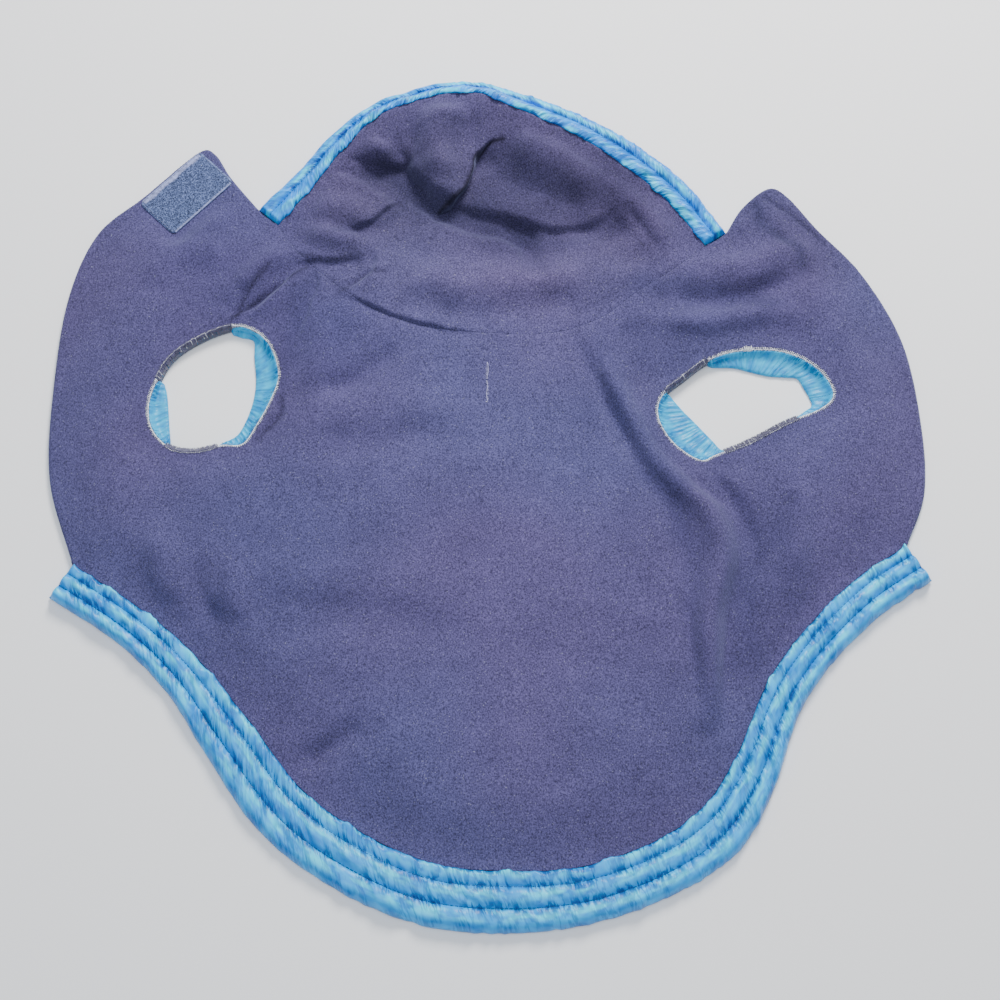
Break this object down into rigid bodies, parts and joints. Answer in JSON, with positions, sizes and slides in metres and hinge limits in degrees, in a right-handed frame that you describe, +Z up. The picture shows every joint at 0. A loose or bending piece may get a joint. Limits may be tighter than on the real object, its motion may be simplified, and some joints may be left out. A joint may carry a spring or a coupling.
{
  "type": "dog winter coat",
  "caption": "Hooded dog winter coat, opened out and laid flat with its fleece lining up, with gathered satin hem border, hood rim and leg cuffs.",
  "frame": {"origin": "centre of the footprint, on the surface that the coat lies on", "axes": "+X across the coat towards the tab with the hook patch under it, +Y from the hem towards the hood, +Z up out of the lining"},
  "size_m": [0.6184, 0.6154, 0.0327],
  "materials": {
    "fleece": "matt napped fleece",
    "satin": "shiny puckered satin",
    "loop_pile": "fuzzy loop pile",
    "hook_tape": "rough hook tape",
    "thread": "overlock and stitching thread"
  },
  "bodies": {
    "root": {"body_lining": "fleece", "body_shell": "satin", "hem_facing": "satin", "hood_lining_left": "fleece", "hood_lining_right": "fleece", "hood_shell_left": "satin", "hood_shell_right": "satin", "hood_rim": "satin", "leg_cuff_left": "satin", "leg_cuff_right": "satin", "loop_patch": "loop_pile", "hook_patch": "hook_tape"}
  },
  "joints": []
}
